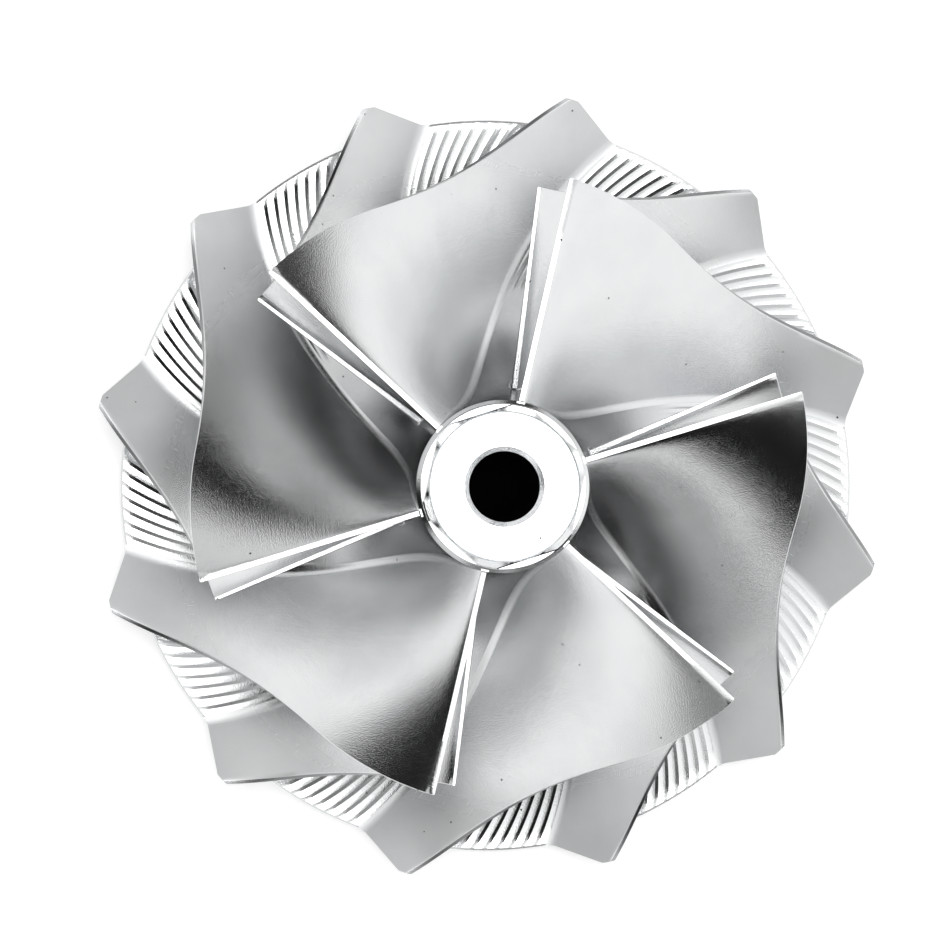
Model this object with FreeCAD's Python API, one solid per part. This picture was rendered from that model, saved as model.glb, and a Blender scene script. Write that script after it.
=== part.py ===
# Compressor wheel of a turbocharger, milled in one piece from an aluminium blank.
# The wheel stands on the boss of its back face. +Z runs up the axis to the nose, and the origin is on
# the axis in the plane of the boss. The first full blade's leading edge meets the shroud line on +X.
# Blades are numbered counter-clockwise and trail clockwise, both as seen from the nose.
import FreeCAD, Part
import math
import os

# Sizes are in millimetres and degrees.

# Disc and back face
disc_radius = 35.3
rim_top_z = 1.5
rim_thickness = 1.0
boss_radius = 12.0

# Hub, nose and bore
hub_radius = 7.4
hub_top_z = 32.5
hub_bend_z = 29.4
collar_ledge_z = 33.4
nose_z = 35.5
nose_face_radius = 6.1
nose_chamfer = 0.6
flat_apothem = 6.45
bore_radius = 3.0
bore_chamfer = 0.25

# Shroud line, which the outer edges of the blades follow
tip_radius = 38.0
tip_z = 5.0
inducer_radius = 27.05
inducer_z = 31.7
shroud_bend_z = 22.1

# Blades: angles from the axial direction and thicknesses at the start, control and end of each line
blade_pairs = 6
hub_angles = (20.6, 4.1, 32.7)
shroud_angles = (55.7, 25.3, 48.3)
hub_thickness = (0.62, 1.8, 1.1)
shroud_thickness = (0.38, 0.6, 0.42)
root_lead = 0.5
root_depth = 0.5
splitter_hub_start = 0.26
splitter_shroud_start = 0.33

# Fineness of the facets
hub_bands = 6
full_blade_steps = 16
splitter_steps = 11
span_steps = 3
walk_steps = 120

circle = 360.0
pitch = circle / blade_pairs
hub_bend = (hub_radius, hub_bend_z)
rim_edge = (disc_radius, rim_top_z)
shroud_bend = (inducer_radius, shroud_bend_z)
origin = FreeCAD.Vector(0, 0, 0)
axis = FreeCAD.Vector(0, 0, 1)


def bezier(controls, share):
    """Value at a share of the way along a line with these start, control and end values."""
    start, control, end = controls
    rest = 1 - share
    return start * rest * rest + 2 * control * rest * share + end * share * share


def quarter_ellipse(start, end, part):
    """Radius and height on a quarter ellipse that leaves its start along the axis and ends square to it."""
    turn = part * math.pi / 2
    radius = end[0] - (end[0] - start[0]) * math.cos(turn)
    return radius, start[1] - (start[1] - end[1]) * math.sin(turn)


def contour_point(top, bend, end, share):
    """Radius and height on a line: straight from its top to the bend, then a quarter ellipse to its end."""
    straight = top[1] - bend[1]
    quarter = math.pi / 2 * math.dist(bend, end) / math.sqrt(2)
    bend_share = straight / (straight + quarter)
    if share < bend_share:
        return top[0], top[1] - straight * share / bend_share
    return quarter_ellipse(bend, end, (share - bend_share) / (1 - bend_share))


def hub_point(share):
    """Radius and height on the hub, from the leading edges to the rim."""
    return contour_point((hub_radius, hub_top_z), hub_bend, rim_edge, share)


def shroud_point(share):
    """Radius and height on the outer edge of the blades."""
    return contour_point((inducer_radius, inducer_z), shroud_bend, (tip_radius, tip_z), share)


def wrap_at(line_point, angles, share):
    """Turn round the axis in radians from the line's start: the sum of tan(blade angle) * run / radius."""
    turn = 0.0
    near = line_point(0)
    for step in range(walk_steps):
        far = line_point(share * (step + 1) / walk_steps)
        slope = math.tan(math.radians(bezier(angles, share * (step + 0.5) / walk_steps)))
        turn += slope * math.dist(near, far) * 2 / (near[0] + far[0])
        near = far
    return turn


def side_points(line_point, angles, thickness, lead, share):
    """The two side points of a blade's section, half a thickness either side of its middle line."""
    radius, height = line_point(share)
    middle = math.radians(lead) - wrap_at(line_point, angles, share)
    slant = math.cos(math.radians(bezier(angles, share)))
    half_turn = bezier(thickness, share) / (2 * slant * radius)
    turns = (middle - half_turn, middle + half_turn)
    return [FreeCAD.Vector(radius * math.cos(turn), radius * math.sin(turn), height) for turn in turns]


def rulings(hub_start, shroud_start, steps):
    """Straight lines up both sides of a blade, as rows of points from inside the hub to the shroud line."""
    sides = ([], [])
    for step in range(steps + 1):
        part = step / steps
        hub_share = hub_start + (1 - hub_start) * part
        shroud_share = shroud_start + (1 - shroud_start) * part
        roots = side_points(hub_point, hub_angles, hub_thickness, root_lead, hub_share)
        tips = side_points(shroud_point, shroud_angles, shroud_thickness, 0.0, shroud_share)
        for side, root, tip in zip(sides, roots, tips):
            buried = root - (tip - root).normalize() * root_depth
            side.append([buried + (tip - buried) * (level / span_steps) for level in range(span_steps + 1)])
    return sides


def facets(rows):
    """Two triangles for each cell of a grid of points."""
    faces = []
    for near, far in zip(rows, rows[1:]):
        for a, b, c, d in zip(near, near[1:], far[1:], far):
            for corners in ((a, b, c, a), (a, c, d, a)):
                faces.append(Part.Face(Part.makePolygon(corners)))
    return faces


def blade(hub_start, shroud_start, steps):
    """One closed blade: two sides, the outer edge, the buried root, and the leading and trailing edges."""
    left, right = rulings(hub_start, shroud_start, steps)
    faces = facets(left) + facets(right)
    faces += facets([left[0], right[0]]) + facets([left[-1], right[-1]])
    for level in (0, -1):
        faces += facets([[row[level] for row in left], [row[level] for row in right]])
    shell = Part.makeShell(faces)
    shell.sewShape()
    solid = Part.makeSolid(shell)
    if solid.Volume < 0:
        solid.reverse()
    return solid


def turned_body():
    """The disc, hub, collar and bore, as one profile turned round the axis."""
    profile = [
        (bore_radius + bore_chamfer, nose_z),
        (nose_face_radius, nose_z),
        (hub_radius, nose_z - nose_chamfer),
    ]
    profile += [quarter_ellipse(hub_bend, rim_edge, band / hub_bands) for band in range(hub_bands + 1)]
    profile += [
        (disc_radius, rim_top_z - rim_thickness),
        (boss_radius, rim_top_z - rim_thickness),
        (boss_radius, 0),
        (bore_radius + bore_chamfer, 0),
        (bore_radius, bore_chamfer),
        (bore_radius, nose_z - bore_chamfer),
    ]
    corners = [FreeCAD.Vector(radius, 0, height) for radius, height in profile]
    return Part.Face(Part.makePolygon(corners + corners[:1])).revolve(origin, axis, circle)


def flats_cut():
    """What the six flats take off the collar: a ring with a hexagonal hole, down to the ledge."""
    corner_radius = flat_apothem / math.cos(math.pi / blade_pairs)
    corners = []
    for index in range(blade_pairs + 1):
        turn = math.radians(root_lead + index * pitch)
        corners.append(FreeCAD.Vector(corner_radius * math.cos(turn), corner_radius * math.sin(turn), 0))
    depth = axis * (nose_z - collar_ledge_z)
    hexagon = Part.Face(Part.makePolygon(corners)).extrude(depth)
    ring = Part.makeCylinder(2 * hub_radius, depth.Length).cut(hexagon)
    ring.translate(axis * collar_ledge_z)
    return ring


def wheel():
    """The turned body with its flats and all its blades, joined into one solid."""
    full = blade(0.0, 0.0, full_blade_steps)
    splitter = blade(splitter_hub_start, splitter_shroud_start, splitter_steps)
    body = turned_body().cut(flats_cut())
    for index in range(blade_pairs):
        for one, turn in ((full, index * pitch), (splitter, (index + 0.5) * pitch)):
            placed = one.copy()
            placed.rotate(origin, axis, turn)
            body = body.fuse(placed)
    return body.Solids[0]


os.makedirs("parts", exist_ok=True)
wheel().exportStep("parts/compressor_wheel.step")
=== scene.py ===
# Compressor wheel of a turbocharger: the finished look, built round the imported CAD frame.
import math

import bmesh
import bpy
import numpy as np
from mathutils import Matrix, Vector


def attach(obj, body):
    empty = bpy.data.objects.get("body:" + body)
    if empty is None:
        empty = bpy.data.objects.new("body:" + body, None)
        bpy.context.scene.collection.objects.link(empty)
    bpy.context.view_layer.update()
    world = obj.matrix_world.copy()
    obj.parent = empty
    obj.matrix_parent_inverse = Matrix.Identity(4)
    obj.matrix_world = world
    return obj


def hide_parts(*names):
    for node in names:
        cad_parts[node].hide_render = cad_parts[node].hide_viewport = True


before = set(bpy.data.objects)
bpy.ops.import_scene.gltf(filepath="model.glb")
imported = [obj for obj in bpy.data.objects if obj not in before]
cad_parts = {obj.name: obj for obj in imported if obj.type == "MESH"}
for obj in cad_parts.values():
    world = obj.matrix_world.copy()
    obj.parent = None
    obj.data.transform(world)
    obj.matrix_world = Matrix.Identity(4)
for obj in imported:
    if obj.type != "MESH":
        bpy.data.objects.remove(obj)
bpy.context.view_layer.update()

mm = 0.001
fullTurn = 2 * math.pi
mergeWithin = 1e-7   # metres
flowUnit = 100.0     # millimetres to one unit of the UV map "flow"
flowEdge = 0.01      # width of the narrow strips in that map
flowRepeat = 2.0     # how far the next repeat of a piece lies in it

# The same lines, angles and thicknesses as the CAD wheel, in millimetres and degrees
wheelLines = {
    "hubTop": (7.4, 32.5),
    "hubBend": (7.4, 29.4),
    "hubEnd": (35.3, 1.5),
    "shroudTop": (27.05, 31.7),
    "shroudBend": (27.05, 22.1),
    "shroudEnd": (38.0, 5.0),
    "hubAngles": (20.6, 4.1, 32.7),
    "shroudAngles": (55.7, 25.3, 48.3),
    "hubThickness": (0.62, 1.8, 1.1),
    "shroudThickness": (0.38, 0.6, 0.42),
    "rootLead": 0.5,
    "bladePairs": 6,
    "wrapFrom": -0.05,    # the tables of turn start a little ahead of the leading edges
    "wrapPoints": 1051,
}


def bezier(controls, share):
    # start, control and end value blended by the squares of the share and its rest
    start, control, end = controls
    rest = 1 - share
    return start * rest * rest + 2 * control * rest * share + end * share * share


def contour(top, bend, end, share):
    # straight down from the top to the bend, then a quarter ellipse out to the end
    straight = top[1] - bend[1]
    quarter = math.pi / 2 * math.dist(bend, end) / math.sqrt(2)
    bendShare = straight / (straight + quarter)
    turn = np.clip((share - bendShare) / (1 - bendShare), 0, None) * math.pi / 2
    radius = end[0] - (end[0] - bend[0]) * np.cos(turn)
    curved = bend[1] - (bend[1] - end[1]) * np.sin(turn)
    return radius, np.where(share < bendShare, top[1] - straight * share / bendShare, curved)


def hubLine(share):
    # radius and height on the hub, from the leading edges to the rim
    return contour(wheelLines["hubTop"], wheelLines["hubBend"], wheelLines["hubEnd"], share)


def shroudLine(share):
    # radius and height on the outer edge of the blades
    return contour(wheelLines["shroudTop"], wheelLines["shroudBend"], wheelLines["shroudEnd"], share)


def wrapTable(line, angles):
    # running sum of tan(blade angle) * run / radius down the line, as a table to read from
    shares = np.linspace(wheelLines["wrapFrom"], 1.0, wheelLines["wrapPoints"])
    radius, height = line(shares)
    run = np.hypot(np.diff(radius), np.diff(height))
    middle = (shares[1:] + shares[:-1]) / 2
    slope = np.tan(np.radians(bezier(angles, np.clip(middle, 0, 1))))
    turn = np.concatenate([[0], np.cumsum(slope * run * 2 / (radius[1:] + radius[:-1]))])
    turn -= np.interp(0.0, shares, turn)
    return shares, turn


hubWrap = wrapTable(hubLine, wheelLines["hubAngles"])
shroudWrap = wrapTable(shroudLine, wheelLines["shroudAngles"])


def ringPoint(radius, turn, height):
    # a place at this radius, this turn round the axis and this height
    radius, turn, height = np.broadcast_arrays(radius, turn, height)
    return np.stack([radius * np.cos(turn), radius * np.sin(turn), height], axis=-1)


def unit(vectors):
    # each vector divided by its length
    return vectors / np.maximum(np.linalg.norm(vectors, axis=-1, keepdims=True), 1e-12)


def hubMiddle(share):
    # turn of a blade's middle line on the hub
    return math.radians(wheelLines["rootLead"]) - np.interp(share, *hubWrap)


def hubTurnWidth(share, width):
    # the turn that spans a width measured square to the blades on the hub
    radius = hubLine(share)[0]
    slant = np.cos(np.radians(bezier(wheelLines["hubAngles"], np.clip(share, 0, 1))))
    return width / (slant * radius)


def putMesh(name, grids, sharpAngle, repeats=1):
    # grids of points and UVs, repeated round the axis, joined where they meet and turned outwards
    points, uvs, faces, slots, start = [], [], [], [], 0
    for grid, uv, slot in grids:
        rows, columns = grid.shape[:2]
        index = np.arange(rows * columns).reshape(rows, columns) + start
        quads = [index[:-1, :-1], index[:-1, 1:], index[1:, 1:], index[1:, :-1]]
        faces.append(np.stack(quads, axis=-1).reshape(-1, 4))
        slots.append(np.full(len(faces[-1]), slot, dtype=np.int32))
        points.append(grid.reshape(-1, 3))
        uvs.append(uv.reshape(-1, 2))
        start += rows * columns
    points, uvs, faces = np.concatenate(points), np.concatenate(uvs), np.concatenate(faces)

    turns = np.arange(repeats) * fullTurn / repeats
    cosine, sine = np.cos(turns)[:, None], np.sin(turns)[:, None]
    x = points[:, 0] * cosine - points[:, 1] * sine
    y = points[:, 0] * sine + points[:, 1] * cosine
    z = np.broadcast_to(points[:, 2], x.shape)
    allPoints = np.stack([x, y, z], axis=-1).reshape(-1, 3) * mm
    firstPoints = np.arange(repeats) * len(points)
    allFaces = (faces[None] + firstPoints[:, None, None]).reshape(-1, 4)
    allUvs = np.tile(uvs, (repeats, 1))
    allUvs[:, 1] += np.repeat(np.arange(repeats), len(uvs)) * flowRepeat

    mesh = bpy.data.meshes.new(name)
    mesh.vertices.add(len(allPoints))
    mesh.vertices.foreach_set("co", allPoints.ravel())
    mesh.loops.add(allFaces.size)
    mesh.loops.foreach_set("vertex_index", allFaces.ravel().astype(np.int32))
    mesh.polygons.add(len(allFaces))
    mesh.polygons.foreach_set("loop_start", np.arange(len(allFaces), dtype=np.int32) * 4)
    mesh.polygons.foreach_set("material_index", np.tile(np.concatenate(slots), repeats))
    mesh.update(calc_edges=True)
    layer = mesh.uv_layers.new(name="flow")
    layer.data.foreach_set("uv", allUvs[allFaces.ravel()].ravel())

    work = bmesh.new()
    work.from_mesh(mesh)
    bmesh.ops.remove_doubles(work, verts=work.verts, dist=mergeWithin)
    bmesh.ops.recalc_face_normals(work, faces=work.faces)
    work.to_mesh(mesh)
    work.free()
    mesh.validate()
    mesh.polygons.foreach_set("use_smooth", np.ones(len(mesh.polygons), dtype=bool))
    mesh.set_sharp_from_angle(angle=math.radians(sharpAngle))
    piece = bpy.data.objects.new(name, mesh)
    bpy.context.scene.collection.objects.link(piece)
    print("made", name, len(mesh.polygons), "faces")
    return piece


# Full blades
bladeForm = {
    "hubStart": 0.0,      # where the leading edge stands, as a share of the hub line
    "shroudStart": 0.0,   # and as a share of the shroud line
    "turnShare": 0.0,     # turn from the first full blade, as a share of the pitch
    "steps": 120,         # sections from the leading edge to the trailing edge
    "stepPower": 1.15,    # above 1 the sections are closer near the leading edge
    "fillet": 0.52,       # size of the root fillet
    "frontFillet": 0.25,  # its share left at the leading edge
    "frontRun": 3.5,      # the run over which it grows to its full size
    "filletWeight": 0.7,  # 0.7 is a round fillet
    "filletSteps": 8,
    "bury": 0.4,          # how far the foot goes into the hub
    "spanSteps": 22,
    "noseShare": 0.62,    # width of the blunt leading edge, as a share of the thickness
    "noseRun": 1.3,       # the run over which the blade reaches its full thickness
    "frontReach": 0.1,    # how far the fillet goes ahead of the leading edge
    "cornerRadius": 0.5,  # of the trailing corner at the shroud
    "edgeInset": 0.06,    # softened edge along the shroud line
    "edgeShare": 0.7,     # width of that edge, as a share of the thickness
    "length": 45.0,       # rough run of a full blade
    "trailingHeight": 5.5,
    "leftShift": 0.5,     # how far the left side lies from the right one in the UV map
    "slopeShare": 1e-4,   # the small step down the hub that gives its slope
    "sharpAngle": 32.0,
}

# Splitter blades start further down and have a sharper leading edge
splitterForm = {
    **bladeForm,
    "hubStart": 0.26,
    "shroudStart": 0.33,
    "turnShare": 0.5,
    "steps": 90,
    "noseShare": 0.36,
}


def bladeSide(form, along, side):
    # rows of levels up one side: buried foot, round fillet, then the ruled face up to the shroud line;
    # each row joins a hub point to a shroud point, half a thickness off the middle line
    hubStart, shroudStart = form["hubStart"], form["shroudStart"]
    hubShare = hubStart + (1 - hubStart) * along
    shroudShare = shroudStart + (1 - shroudStart) * along
    length = form["length"] * (1 - (hubStart + shroudStart) / 2)

    # the thickness grows from the blunt nose to its full value along a quarter circle
    rise = np.clip(along * length / form["noseRun"], 0, 1)
    nose = form["noseShare"] + (1 - form["noseShare"]) * np.sqrt(1 - (1 - rise) ** 2)
    grow = np.clip(along * length / form["frontRun"], 0, 1)
    filletSize = form["fillet"] * (form["frontFillet"] + (1 - form["frontFillet"]) * grow)

    hubRadius, hubHeight = hubLine(hubShare)
    hubHalf = bezier(wheelLines["hubThickness"], hubShare) / 2 * nose
    middle = hubMiddle(hubShare)
    root = ringPoint(hubRadius, middle + side * hubTurnWidth(hubShare, hubHalf), hubHeight)

    shroudRadius, shroudHeight = shroudLine(shroudShare)
    slant = np.cos(np.radians(bezier(wheelLines["shroudAngles"], shroudShare)))
    shroudHalf = bezier(wheelLines["shroudThickness"], shroudShare) / 2 * nose
    shroudMiddle = -np.interp(shroudShare, *shroudWrap)
    tipTurn = shroudMiddle + side * shroudHalf / (slant * shroudRadius)
    tip = ringPoint(shroudRadius, tipTurn, shroudHeight)
    tipMiddle = ringPoint(shroudRadius, shroudMiddle, shroudHeight)

    # the trailing corner is rounded off by letting the span fall short there
    cornerRun = form["cornerRadius"] / length
    into = np.clip((along - (1 - cornerRun)) / cornerRun, 0, 1)
    short = form["cornerRadius"] / form["trailingHeight"] * (1 - np.sqrt(1 - into ** 2))
    tip = tip + (root - tip) * short[:, None]
    tipMiddle = tipMiddle + (root - tipMiddle) * short[:, None]

    # the foot lies on the hub line, and is buried square to it
    ahead = form["frontReach"] / length * (1 - rise) ** 2
    footShare = hubShare - ahead * (1 - hubStart)
    footRadius, footHeight = hubLine(footShare)
    footTurn = hubMiddle(footShare) + side * hubTurnWidth(footShare, hubHalf + filletSize)
    foot = ringPoint(footRadius, footTurn, footHeight)
    nextRadius, nextHeight = hubLine(footShare + form["slopeShare"])
    slope = np.hypot(nextRadius - footRadius, nextHeight - footHeight)
    inRadius, inHeight = (nextHeight - footHeight) / slope, -(nextRadius - footRadius) / slope
    bury = form["bury"]
    buried = ringPoint(footRadius + inRadius * bury, footTurn, footHeight + inHeight * bury)

    # the fillet is a weighted curve from the foot past the root to the shoulder
    up = unit(tip - root)
    shoulder = root + up * filletSize[:, None]
    part = np.linspace(0, 1, form["filletSteps"] + 1)[None, :, None]
    low, mid, high = (1 - part) ** 2, 2 * form["filletWeight"] * part * (1 - part), part ** 2
    curve = foot[:, None] * low + root[:, None] * mid + shoulder[:, None] * high
    fillet = curve / (low + mid + high)

    part = np.linspace(0, 1, form["spanSteps"] + 1)[None, 1:, None]
    edge = tip - up * form["edgeInset"]
    face = shoulder[:, None] + (edge - shoulder)[:, None] * part
    crown = tip * form["edgeShare"] + tipMiddle * (1 - form["edgeShare"])
    return np.concatenate([buried[:, None], fillet, face, crown[:, None]], axis=1)


def makeBlades(name, form):
    # two sides, each a grid of sections by levels, closed by strips along their four edges
    steps = form["steps"]
    along = np.linspace(0, 1, steps + 1) ** form["stepPower"]
    right = bladeSide(form, along, 1)
    left = bladeSide(form, along, -1)
    flow = np.broadcast_to(along[:, None] * form["length"] / flowUnit, right.shape[:2])
    climbs = np.cumsum(np.linalg.norm(np.diff(right, axis=1), axis=-1), axis=1)
    rise = np.concatenate([np.zeros((steps + 1, 1)), climbs], axis=1) / flowUnit
    uvRight = np.stack([flow, rise], axis=-1)
    uvLeft = np.stack([flow, rise + form["leftShift"]], axis=-1)
    grids = [(right, uvRight, 0), (left, uvLeft, 0)]

    # foot and leading edge wear the finish of the sides, shroud edge and trailing edge their own darker
    # one, painted shade
    for end, slot in ((0, 0), (-1, 1)):
        strip = np.stack([left[:, end], right[:, end]], axis=1)
        uv = np.stack([uvRight[:, end], uvRight[:, end] + (0, flowEdge)], axis=1)
        grids.append((strip, uv, slot))
        strip = np.stack([left[end], right[end]], axis=1)
        uv = np.stack([uvRight[end], uvRight[end] + (flowEdge, 0)], axis=1)
        grids.append((strip, uv, slot))

    turn = form["turnShare"] * fullTurn / wheelLines["bladePairs"]
    cosine, sine = math.cos(turn), math.sin(turn)
    spin = np.array([[cosine, sine, 0], [-sine, cosine, 0], [0, 0, 1]])
    grids = [(points @ spin, uv, slot) for points, uv, slot in grids]
    return putMesh(name, grids, form["sharpAngle"], wheelLines["bladePairs"])


# Turned body with the milled floor
bodyForm = {
    "floorRows": 60,
    "grooves": 13,                # milling grooves between two blades
    "grooveDepth": 0.11,
    "grooveLow": 0.34,            # where the deepest line lies across a groove
    "grooveColumns": (0.35, 0.7),  # further columns on the way back up
    "grooveStart": (0.60, 0.70),  # shares of the hub line over which the grooves deepen
    "grooveEnd": 0.985,           # share at which they run out
    "underSteps": 3,              # columns under a blade
    "footWidth": 0.46,            # how far the floor is plain beside a blade
    "bore": 3.0,
    "boreChamfer": 0.4,
    "boreRows": 9,
    "noseHeight": 35.5,
    "noseFace": 6.3,
    "faceRings": (4.0, 5.0),
    "faceMargin": 0.1,
    "noseRing": ((-0.05, 0.0), (0.02, -0.2), (0.10, -0.04)),  # fine turned line round the nose face
    "collar": 7.0,                # the collar above the ledge is a little slimmer than the hub
    "collarDrop": 0.13,
    "collarBevel": (0.11, 0.12),
    "collarLedge": 0.01,
    "collarFoot": ((0.02, 0.5), (0.1, 0.2)),  # past the collar's radius, above the top of the hub
    "flatApothem": 6.45,
    "ledge": 33.4,
    "rimUnder": 0.5,
    "rimBevel": 0.22,
    "rimEase": 0.08,
    "backRings": 12,
    "backMargin": 1.0,            # between the outermost ring and the edge of its face
    "boss": 12.0,
    "bossEase": 0.05,
    "bossRings": 6,
    "bossShares": (0.9, 0.1),     # hub shares that set how far those rings are turned
    "sharpAngle": 12.0,
}


def grooveDepth(form, across):
    # a straight steep bank down to the deepest line, then half a parabola back up
    low = form["grooveLow"]
    bank = np.where(across < low, across / low, 1 - ((across - low) / (1 - low)) ** 2)
    return form["grooveDepth"] * bank


def aboveFloor(form):
    # radius, height and hub share from the bore up over the nose face and down the collar
    nose, top, ledge = form["noseFace"], form["noseHeight"], form["ledge"]
    bore, chamfer, collar = form["bore"], form["boreChamfer"], form["collar"]
    bevelWidth, bevelHeight = form["collarBevel"]
    shoulder = top - form["collarDrop"]
    down = np.linspace(top - chamfer, chamfer, form["boreRows"])
    rows = [(bore, z, 0.0) for z in down[::-1]]
    rows += [(bore + chamfer, top, 0.0)]
    rows += [(r, top, 0.0) for r in (*form["faceRings"], nose - form["faceMargin"])]
    rows += [(nose + out, top + up, 0.0) for out, up in form["noseRing"]]
    flatsFrom = len(rows)
    rows += [(collar - bevelWidth, shoulder, 0.0)]
    rows += [(collar, shoulder - bevelHeight, 0.0), (collar, ledge, 0.0)]
    rows += [(collar + form["collarLedge"], ledge, 0.0)]
    rows += [(collar + out, wheelLines["hubTop"][1] + up, 0.0) for out, up in form["collarFoot"]]
    return rows, flatsFrom


def belowFloor(form):
    # radius, height and hub share from the rim round the back face and the boss to the bore
    rim, under, boss = wheelLines["hubEnd"], form["rimUnder"], form["boss"]
    bevel, ease = form["rimBevel"], form["rimEase"]
    bossEase, margin = form["bossEase"], form["backMargin"]
    rows = [(rim[0], rim[1] - bevel, 1.0), (rim[0], under + ease, 1.0), (rim[0] - ease, under, 1.0)]
    rows += [(r, under, 1.0) for r in np.linspace(rim[0] - margin, boss + margin, form["backRings"])]
    rows += [(boss, under, 1.0), (boss, bossEase, 1.0), (boss - bossEase, 0.0, 1.0)]
    inwards = np.linspace(boss - margin, form["bore"] + form["boreChamfer"], form["bossRings"])
    twist = np.linspace(*form["bossShares"], form["bossRings"])
    rows += [(r, 0.0, s) for r, s in zip(inwards, twist)]
    return rows


def makeBody(form):
    # one profile turned round the axis; on the floor its columns follow the blades, and each groove
    # lowers the surface square to the hub line
    pairs = wheelLines["bladePairs"]
    passages = 2 * pairs
    width = fullTurn / passages
    # columns of one passage: under the blade in -1..1, then over the grooves in 0..1
    under = np.linspace(-1, 1, form["underSteps"] + 1)[:-1]
    low = form["grooveLow"]
    inside = np.array([0, low / 2, low, *(low + c * (1 - low) for c in form["grooveColumns"])])
    floorAcross = ((np.arange(form["grooves"])[:, None] + inside) / form["grooves"]).ravel()
    groove = grooveDepth(form, np.tile(inside, form["grooves"]))

    share = np.linspace(0, 1, form["floorRows"] + 1)
    floor = [(r, z, s) for s, r, z in zip(share, *hubLine(share))]
    rim = wheelLines["hubEnd"]
    floor[-1] = (rim[0] - form["rimBevel"], rim[1], 1.0)
    before, flatsFrom = aboveFloor(form)
    radius, height, shares = np.array(before + floor + belowFloor(form)).T
    floorFrom, floorTo = len(before), len(before) + len(floor)

    half = bezier(wheelLines["hubThickness"], shares) / 2 + form["footWidth"]
    footTurn = hubTurnWidth(shares, half)
    underTurn = footTurn[:, None] * under[None]
    floorTurn = footTurn[:, None] + (width - 2 * footTurn)[:, None] * floorAcross[None]
    passage = np.concatenate([underTurn, floorTurn], axis=1)
    columns = np.concatenate([passage + k * width for k in range(passages)], axis=1)
    columns = np.concatenate([columns, columns[:, :1] + fullTurn], axis=1)
    turn = hubMiddle(shares)[:, None] + columns

    depth = np.concatenate([np.zeros(len(under)), groove])
    depth = np.append(np.tile(depth, passages), 0.0)
    start, full = form["grooveStart"]
    fade = np.clip((shares - start) / (full - start), 0, 1)
    fade *= np.clip((1 - shares) / (1 - form["grooveEnd"]), 0, 1)
    fade[:floorFrom] = 0
    fade[floorTo:] = 0
    lineRadius, lineHeight = np.gradient(radius), np.gradient(height)
    lineRadius[floorTo - 1], lineHeight[floorTo - 1] = 1.0, 0.0
    length = np.maximum(np.hypot(lineRadius, lineHeight), 1e-9)
    cut = depth[None] * fade[:, None]
    radii = radius[:, None] + (lineHeight / length)[:, None] * cut
    heights = height[:, None] - (lineRadius / length)[:, None] * cut

    # six shallow flats on the collar: no further out than the apothem / cos(turn from the middle)
    sector = math.pi / pairs
    flat = form["flatApothem"] / np.cos(np.mod(columns, 2 * sector) - sector)
    for row, inset in enumerate((form["collarBevel"][0], 0.0, 0.0), flatsFrom):
        radii[row] = np.minimum(radii[row], flat[row] - inset)

    points = ringPoint(radii, turn, heights)
    points = np.concatenate([points, points[:1]], axis=0)
    steps = np.hypot(np.diff(radius), np.diff(height))
    run = np.concatenate([[0], np.cumsum(steps), [0]]) / flowUnit
    run[-1] = run[-2] + flowEdge
    turnRow = np.concatenate([columns, columns[:1]], axis=0) / fullTurn
    uv = np.stack([np.broadcast_to(run[:, None], turnRow.shape), turnRow], axis=-1)
    return putMesh("turnedBody", [(points, uv, 0)], form["sharpAngle"])


# Finishes; heights, and places on the wheel, are in metres
bladeLook = {
    "colour": (0.70, 0.708, 0.712),
    "shade": (0.65, 0.66, 0.67),
    "roughness": (0.14, 0.18),
    "cloud": 110.0,
    "cloudNoise": (4.0, 0.65),    # detail and roughness
    "shadeRange": (0.35, 0.75),   # part of the cloud over which the colour changes
    "glossRange": (0.35, 0.7),    # and the roughness
    "lines": (40.0, 900.0),       # cutter lines: few along the flow, many across it
    "lineNoise": (3.0, 0.6),
    "lineHeight": 0.000006,
    "scratchRange": (0.62, 0.72),
    "scratch": 0.035,
    "grain": 9000.0,
    "grainDetail": 2.0,
    "grainHeight": 0.000017,
    "speckCell": 420.0,
    "speckSize": (0.034, 0.060),  # in cells
    "speckShare": (0.40, 0.42),   # cells below this have no speck
    "speckColour": (0.06, 0.06, 0.06),
    "hazeFrom": (0.0265, 0.034),  # outwards from here the metal is matt
    "haze": 0.62,
    "hazeGloss": 0.3,
    # painted shade: the deep passages are darkened towards this colour
    "paintedDeepShadeColour": (0.12, 0.12, 0.125),
    "paintedDeepShadeReach": (0.009, 0.016),  # painted shade: nearer the axis than this, and between these heights, the colour is darkened
    "paintedDeepShadeShare": 0.35,
    "paintedDeepShadeFoot": (0.0015, 0.003),
    "paintedDeepShadeTop": (0.027, 0.031),
}

# painted shade: the shroud edge and trailing edge get a much darker colour than the sides
paintedShadeEdgeLook = {
    **bladeLook,
    "colour": (0.30, 0.305, 0.31),
    "shade": (0.24, 0.245, 0.25),
    "roughness": (0.25, 0.35),
    "grainHeight": 0.00002,
    "haze": 0.0,
    "paintedDeepShadeShare": 0.0,
}

bodyLook = {
    **bladeLook,
    "colour": (0.68, 0.69, 0.695),
    "shade": (0.65, 0.66, 0.67),
    "roughness": (0.11, 0.15),
    "lines": (900.0, 40.0),
    "lineHeight": 0.000004,
    "grainHeight": 0.000011,
    "speckSize": (0.030, 0.055),
    "haze": 0.0,
    "paintedDeepShadeReach": (0.011, 0.019),
    "paintedDeepShadeShare": 0.8,
    "paintedDeepShadeTop": (0.0318, 0.0326),
}


def addNode(tree, kind, **values):
    # a node with these sockets or settings filled in
    node = tree.nodes.new(kind)
    for key, value in values.items():
        if key in node.inputs:
            node.inputs[key].default_value = value
        else:
            setattr(node, key, value)
    return node


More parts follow.
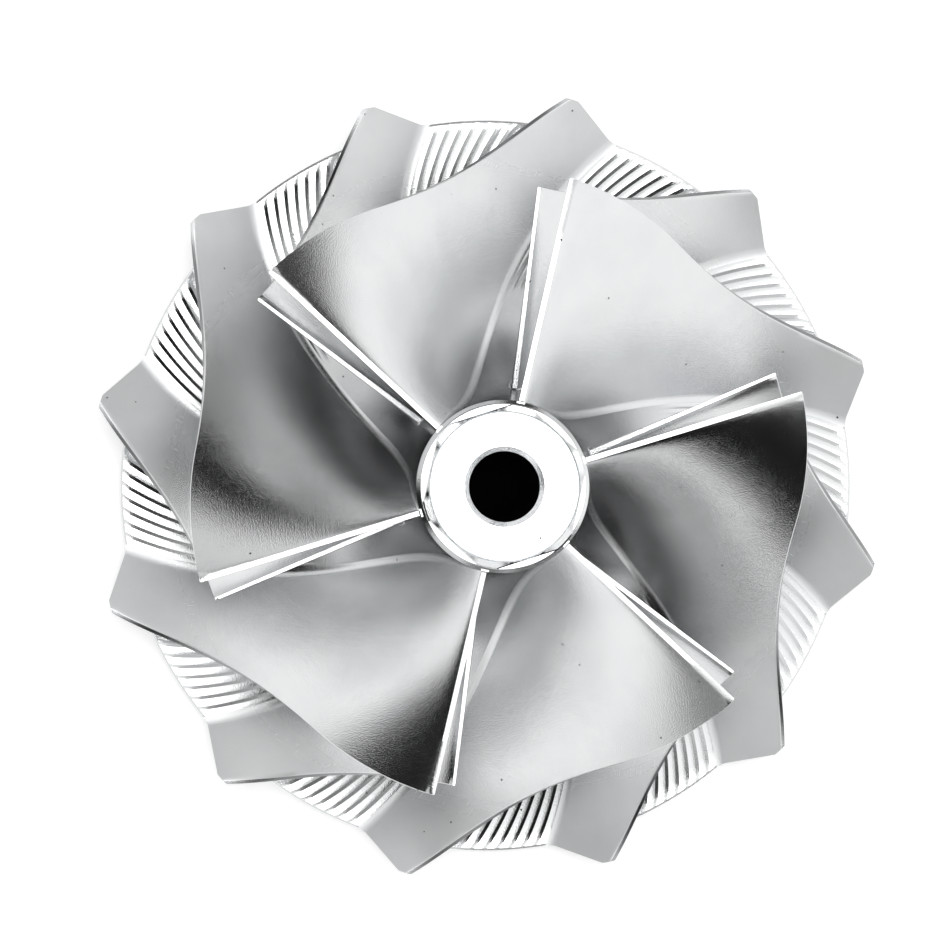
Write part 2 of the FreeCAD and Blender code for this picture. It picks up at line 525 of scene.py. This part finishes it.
def mapRange(tree, source, low, high, lowTo, highTo):
    # an S-shaped step from lowTo to highTo while the source goes from low to high
    node = addNode(tree, "ShaderNodeMapRange", interpolation_type="SMOOTHSTEP")
    for index, value in enumerate((low, high, lowTo, highTo), 1):
        node.inputs[index].default_value = value
    tree.links.new(source, node.inputs[0])
    return node.outputs[0]


def combine(tree, operation, *sources):
    # a math node fed by sockets and plain numbers
    node = addNode(tree, "ShaderNodeMath", operation=operation)
    for index, source in enumerate(sources):
        if isinstance(source, float):
            node.inputs[index].default_value = source
        else:
            tree.links.new(source, node.inputs[index])
    return node.outputs[0]


def mixColour(tree, share, first, second):
    # first where the share is 0, second where it is 1; each a socket or a plain colour
    node = addNode(tree, "ShaderNodeMix", data_type="RGBA")
    tree.links.new(share, node.inputs[0])
    for index, colour in ((6, first), (7, second)):
        if isinstance(colour, tuple):
            node.inputs[index].default_value = (*colour, 1)
        else:
            tree.links.new(colour, node.inputs[index])
    return node.outputs[2]


def speckMask(tree, place, look):
    # dark pits: the middle of some cells only
    cells = addNode(tree, "ShaderNodeTexVoronoi", Scale=look["speckCell"])
    tree.links.new(place, cells.inputs["Vector"])
    pit = mapRange(tree, cells.outputs["Distance"], *look["speckSize"], 1.0, 0.0)
    split = tree.nodes.new("ShaderNodeSeparateColor")
    tree.links.new(cells.outputs["Color"], split.inputs["Color"])
    chosen = mapRange(tree, split.outputs[0], *look["speckShare"], 0.0, 1.0)
    return combine(tree, "MULTIPLY", pit, chosen)


def paintedDeepShadeMask(tree, place, reach, look):
    # painted shade, darkening the deep ends of the passages: near the axis, above the back face
    # and below the top
    height = tree.nodes.new("ShaderNodeSeparateXYZ")
    tree.links.new(place, height.inputs[0])
    near = mapRange(tree, reach, *look["paintedDeepShadeReach"], look["paintedDeepShadeShare"], 0.0)
    below = mapRange(tree, height.outputs["Z"], *look["paintedDeepShadeTop"], 1.0, 0.0)
    above = mapRange(tree, height.outputs["Z"], *look["paintedDeepShadeFoot"], 0.0, 1.0)
    return combine(tree, "MULTIPLY", combine(tree, "MULTIPLY", near, below), above)


def aluminium(name, look):
    # bright milled metal: cutter lines along the flow, fine grain, cloudy gloss, small pits and
    # scratches, and painted shade in the deep passages
    material = bpy.data.materials.new(name)
    material.use_nodes = True
    tree = material.node_tree
    link = tree.links.new
    shader = tree.nodes["Principled BSDF"]
    place = tree.nodes.new("ShaderNodeTexCoord").outputs["Object"]
    flow = addNode(tree, "ShaderNodeUVMap", uv_map="flow")
    stretch = addNode(tree, "ShaderNodeMapping", Scale=(*look["lines"], 1.0))
    link(flow.outputs["UV"], stretch.inputs["Vector"])
    detail, rough = look["lineNoise"]
    lines = addNode(tree, "ShaderNodeTexNoise", Scale=1.0, Detail=detail, Roughness=rough)
    link(stretch.outputs["Vector"], lines.inputs["Vector"])
    grain = addNode(tree, "ShaderNodeTexNoise", Scale=look["grain"], Detail=look["grainDetail"])
    link(place, grain.inputs["Vector"])
    detail, rough = look["cloudNoise"]
    cloud = addNode(tree, "ShaderNodeTexNoise", Scale=look["cloud"], Detail=detail, Roughness=rough)
    link(place, cloud.inputs["Vector"])

    flat = addNode(tree, "ShaderNodeVectorMath", operation="MULTIPLY")
    flat.inputs[1].default_value = (1, 1, 0)
    link(place, flat.inputs[0])
    reach = addNode(tree, "ShaderNodeVectorMath", operation="LENGTH")
    link(flat.outputs["Vector"], reach.inputs[0])
    reach = reach.outputs["Value"]

    shadePart = mapRange(tree, cloud.outputs[0], *look["shadeRange"], 0.0, 1.0)
    colour = mixColour(tree, shadePart, look["colour"], look["shade"])
    # painted shade: the deep passages darkened towards a near-black colour
    colour = mixColour(tree, paintedDeepShadeMask(tree, place, reach, look), colour, look["paintedDeepShadeColour"])
    colour = mixColour(tree, speckMask(tree, place, look), colour, look["speckColour"])
    link(colour, shader.inputs["Base Color"])

    gloss = mapRange(tree, cloud.outputs[0], *look["glossRange"], *look["roughness"])
    scratch = mapRange(tree, lines.outputs[0], *look["scratchRange"], 0.0, look["scratch"])
    gloss = combine(tree, "ADD", gloss, scratch)
    haze = mapRange(tree, reach, *look["hazeFrom"], 0.0, look["haze"])
    link(combine(tree, "SUBTRACT", 1.0, haze), shader.inputs["Metallic"])
    link(combine(tree, "MULTIPLY_ADD", haze, look["hazeGloss"], gloss), shader.inputs["Roughness"])

    lineBump = addNode(tree, "ShaderNodeBump", Distance=look["lineHeight"], Strength=1.0)
    link(lines.outputs[0], lineBump.inputs["Height"])
    grainBump = addNode(tree, "ShaderNodeBump", Distance=look["grainHeight"], Strength=1.0)
    link(grain.outputs[0], grainBump.inputs["Height"])
    link(lineBump.outputs["Normal"], grainBump.inputs["Normal"])
    link(grainBump.outputs["Normal"], shader.inputs["Normal"])
    print("mixed", name)
    return material


# Floor, in metres
floorLook = {
    "size": 3.0,
    "colour": 0.8,
    "white": 0.30,
    "paintedShadowColour": 0.02,           # painted shadow: floor colour under the wheel, so that the bore reads dark
    "paintedShadowRange": (0.020, 0.030),  # distances from the axis over which that painted shadow ends
}


def makeFloor(look):
    # a pale square; its glow brings it up to white and leaves the wheel's shadow on it; under the wheel
    # its colour is painted dark and its glow left off, a painted shadow
    size = look["size"] / 2
    corners = [(-size, -size, 0), (size, -size, 0), (size, size, 0), (-size, size, 0)]
    mesh = bpy.data.meshes.new("floor")
    mesh.from_pydata(corners, [], [(0, 1, 2, 3)])
    floor = bpy.data.objects.new("floor", mesh)
    bpy.context.scene.collection.objects.link(floor)
    material = bpy.data.materials.new("paleFloor")
    material.use_nodes = True
    tree = material.node_tree
    tree.nodes.remove(tree.nodes["Principled BSDF"])
    link = tree.links.new
    place = tree.nodes.new("ShaderNodeTexCoord")
    out = addNode(tree, "ShaderNodeVectorMath", operation="LENGTH")
    link(place.outputs["Object"], out.inputs[0])
    out = out.outputs["Value"]

    diffuse = tree.nodes.new("ShaderNodeBsdfDiffuse")
    # painted shadow: near-black colour and no glow under the wheel
    floorToneWithPaintedShadow = mapRange(tree, out, *look["paintedShadowRange"], look["paintedShadowColour"], look["colour"])
    link(floorToneWithPaintedShadow, diffuse.inputs["Color"])
    path = tree.nodes.new("ShaderNodeLightPath").outputs
    seen = combine(tree, "MAXIMUM", path["Is Camera Ray"], path["Is Glossy Ray"])
    seen = combine(tree, "MAXIMUM", seen, path["Is Transmission Ray"])
    white = mapRange(tree, out, *look["paintedShadowRange"], 0.0, look["white"])
    glow = addNode(tree, "ShaderNodeEmission", Color=(1, 1, 1, 1))
    link(combine(tree, "MULTIPLY", seen, white), glow.inputs["Strength"])
    both = tree.nodes.new("ShaderNodeAddShader")
    link(diffuse.outputs[0], both.inputs[0])
    link(glow.outputs[0], both.inputs[1])
    link(both.outputs[0], tree.nodes["Material Output"].inputs["Surface"])
    mesh.materials.append(material)
    print("laid floor")


# Black cards that only the metal's reflections see: azimuths in degrees, distance from the axis and
# height in metres at the foot and the top, share of black, and the parts of the width and height
# over which a card fades at its ends, foot and top
cards = {
    "cardTop": {
        "azimuths": (67.0, 113.0), "distances": (0.065, 0.065), "heights": (0.0005, 0.039),
        "black": 1.0, "fades": (0.24, 0.06, 0.28),
    },
    "cardLeft": {
        "azimuths": (154.0, 202.0), "distances": (0.065, 0.065), "heights": (0.010, 0.085),
        "black": 1.0, "fades": (0.24, 0.14, 0.25),
    },
    "cardBottom": {
        "azimuths": (254.0, 320.0), "distances": (0.065, 0.065), "heights": (0.003, 0.066),
        "black": 1.0, "fades": (0.20, 0.13, 0.30),
    },
    "cardCorner": {
        "azimuths": (41.0, 76.0), "distances": (0.066, 0.066), "heights": (0.012, 0.088),
        "black": 0.95, "fades": (0.26, 0.34, 0.15),
    },
    "cardFoot": {
        "azimuths": (224.0, 262.0), "distances": (0.067, 0.067), "heights": (0.024, 0.092),
        "black": 0.65, "fades": (0.30, 0.22, 0.20),
    },
    "stripTop": {
        "azimuths": (56.0, 122.0), "distances": (0.042, 0.046), "heights": (0.0003, 0.0058),
        "black": 1.0, "fades": (0.18, 0.03, 0.35),
    },
    "stripBottom": {
        "azimuths": (244.0, 300.0), "distances": (0.042, 0.046), "heights": (0.0003, 0.0058),
        "black": 1.0, "fades": (0.18, 0.03, 0.35),
    },
}
cardLook = {
    "steps": 33,
    "colour": (0.01, 0.01, 0.01),
}


def soften(value):
    # value squared times (3 - 2 value): rises smoothly from 0 to 1
    value = np.clip(value, 0, 1)
    return value * value * (3 - 2 * value)


def cardFinish(look):
    # black where the attribute "dark" is 1, clear where it is 0
    material = bpy.data.materials.new("blackCard")
    material.use_nodes = True
    tree = material.node_tree
    link = tree.links.new
    tree.nodes.remove(tree.nodes["Principled BSDF"])
    dark = addNode(tree, "ShaderNodeAttribute", attribute_name="dark")
    clear = tree.nodes.new("ShaderNodeBsdfTransparent")
    black = addNode(tree, "ShaderNodeBsdfDiffuse", Color=(*look["colour"], 1))
    mix = tree.nodes.new("ShaderNodeMixShader")
    link(dark.outputs["Fac"], mix.inputs[0])
    link(clear.outputs[0], mix.inputs[1])
    link(black.outputs[0], mix.inputs[2])
    link(mix.outputs[0], tree.nodes["Material Output"].inputs["Surface"])
    return material


def makeCards(look):
    # each card is a part of a cone round the axis: turn by height, fading at its edges
    material = cardFinish(look)
    count = look["steps"]
    steps = np.linspace(0, 1, count)
    across, up = np.meshgrid(steps, steps, indexing="ij")
    index = np.arange(count * count).reshape(count, count)
    quads = [index[:-1, :-1], index[1:, :-1], index[1:, 1:], index[:-1, 1:]]
    faces = np.stack(quads, axis=-1).reshape(-1, 4).tolist()
    for name, form in cards.items():
        (start, end), (near, far), (low, high) = form["azimuths"], form["distances"], form["heights"]
        ends, foot, top = form["fades"]
        turn = np.radians(start + (end - start) * across)
        points = ringPoint(near + (far - near) * up, turn, low + (high - low) * up)
        dark = form["black"] * soften(across / ends) * soften((1 - across) / ends)
        dark = dark * soften(up / foot) * soften((1 - up) / top)
        mesh = bpy.data.meshes.new(name)
        mesh.from_pydata(points.reshape(-1, 3).tolist(), [], faces)
        mesh.attributes.new("dark", "FLOAT", "POINT").data.foreach_set("value", dark.ravel())
        mesh.materials.append(material)
        card = bpy.data.objects.new(name, mesh)
        bpy.context.scene.collection.objects.link(card)
        card.visible_camera = False
        card.visible_diffuse = False
        card.visible_shadow = False
    print("stood", len(cards), "cards")


# Studio: a lamp on a dome round the wheel, and an even white world
lampLook = {
    "azimuth": 70,
    "elevation": 78,
    "distance": 0.9,
    "size": (0.55, 0.55),
    "power": 2.5,
}
worldLook = {
    "strength": 0.85,
    "colour": (1, 1, 1, 1),
}

# Soft darker and lighter parts of the world: azimuth, elevation, inner and outer half widths in
# degrees, and the level there as a share of the rest
studioPatches = {
    "leftGapUpper": (156.0, 52.0, 9.0, 17.0, 0.0),
    "leftGap": (178.0, 52.0, 9.0, 17.0, 0.0),
    "leftGapLower": (200.0, 52.0, 9.0, 17.0, 0.1),
    "topGap": (83.0, 38.0, 7.0, 18.0, 0.35),
    "bottomGap": (258.0, 38.0, 7.0, 18.0, 0.35),
    "brightRight": (-30.0, 10.0, 20.0, 50.0, 1.5),
    "brightTop": (-17.0, 86.0, 20.0, 36.0, 1.58),
}


def skyward(azimuth, elevation):
    # unit vector at this azimuth and elevation
    turn, lift = math.radians(azimuth), math.radians(elevation)
    return Vector((math.cos(turn) * math.cos(lift), math.sin(turn) * math.cos(lift), math.sin(lift)))


def makeLamp(look):
    # an area lamp that faces the wheel
    place = skyward(look["azimuth"], look["elevation"]) * look["distance"]
    data = bpy.data.lights.new("overhead", "AREA")
    data.shape = "RECTANGLE"
    data.size, data.size_y = look["size"]
    data.energy = look["power"]
    lamp = bpy.data.objects.new("overhead", data)
    lamp.location = place
    lamp.rotation_euler = (-place).to_track_quat("-Z", "Y").to_euler()
    bpy.context.scene.collection.objects.link(lamp)
    print("hung lamp")


def makeWorld(look):
    # the strength is the product of the patches' levels, each by the angle from its middle
    world = bpy.data.worlds.new("studio")
    world.use_nodes = True
    tree = world.node_tree
    background = tree.nodes["Background"]
    place = tree.nodes.new("ShaderNodeTexCoord")
    level = None
    for azimuth, elevation, inner, outer, share in studioPatches.values():
        dot = addNode(tree, "ShaderNodeVectorMath", operation="DOT_PRODUCT")
        dot.inputs[1].default_value = skyward(azimuth, elevation)
        tree.links.new(place.outputs["Generated"], dot.inputs[0])
        near, far = math.cos(math.radians(inner)), math.cos(math.radians(outer))
        part = mapRange(tree, dot.outputs["Value"], far, near, 1.0, share)
        level = combine(tree, "MULTIPLY", level, part) if level else part
    tree.links.new(combine(tree, "MULTIPLY", level, look["strength"]), background.inputs["Strength"])
    background.inputs["Color"].default_value = look["colour"]
    bpy.context.scene.world = world
    print("lit")


# Camera, in metres, with the azimuth that is up in the picture
cameraLook = {
    "place": (-0.01065, 0.00411, 0.26576),
    "aim": (-0.00152, 0.00151, 0.020),
    "up": 72.86,
    "lens": 103.68,
    "sensor": 36.0,
    "nearest": 0.01,
}


def makeCamera(look):
    # looks from its place to its aim, turned so that the given azimuth points up
    data = bpy.data.cameras.new("camera")
    data.lens = look["lens"]
    data.sensor_width = look["sensor"]
    data.clip_start = look["nearest"]
    camera = bpy.data.objects.new("camera", data)
    place, aim = Vector(look["place"]), Vector(look["aim"])
    back = (place - aim).normalized()
    turn = math.radians(look["up"])
    hint = Vector((math.cos(turn), math.sin(turn), 0))
    right = hint.cross(back).normalized()
    up = back.cross(right)
    camera.matrix_world = Matrix.Translation(place) @ Matrix((right, up, back)).transposed().to_4x4()
    bpy.context.scene.collection.objects.link(camera)
    bpy.context.scene.camera = camera
    print("aimed camera")


# Put together
bladeFinish = aluminium("bladeAluminium", bladeLook)
paintedShadeEdgeFinish = aluminium("edgeAluminiumPaintedShade", paintedShadeEdgeLook)
bodyFinish = aluminium("bodyAluminium", bodyLook)
fullBlades = makeBlades("fullBlades", bladeForm)
splitterBlades = makeBlades("splitterBlades", splitterForm)
turnedBody = makeBody(bodyForm)
coats = (
    (fullBlades, (bladeFinish, paintedShadeEdgeFinish)),
    (splitterBlades, (bladeFinish, paintedShadeEdgeFinish)),
    (turnedBody, (bodyFinish,)),
)
for piece, finishes in coats:
    for finish in finishes:
        piece.data.materials.append(finish)
    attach(piece, "root")
    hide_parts("compressor_wheel")
makeFloor(floorLook)
makeCards(cardLook)
makeWorld(worldLook)
makeLamp(lampLook)
makeCamera(cameraLook)
bpy.context.scene.view_settings.view_transform = "Standard"
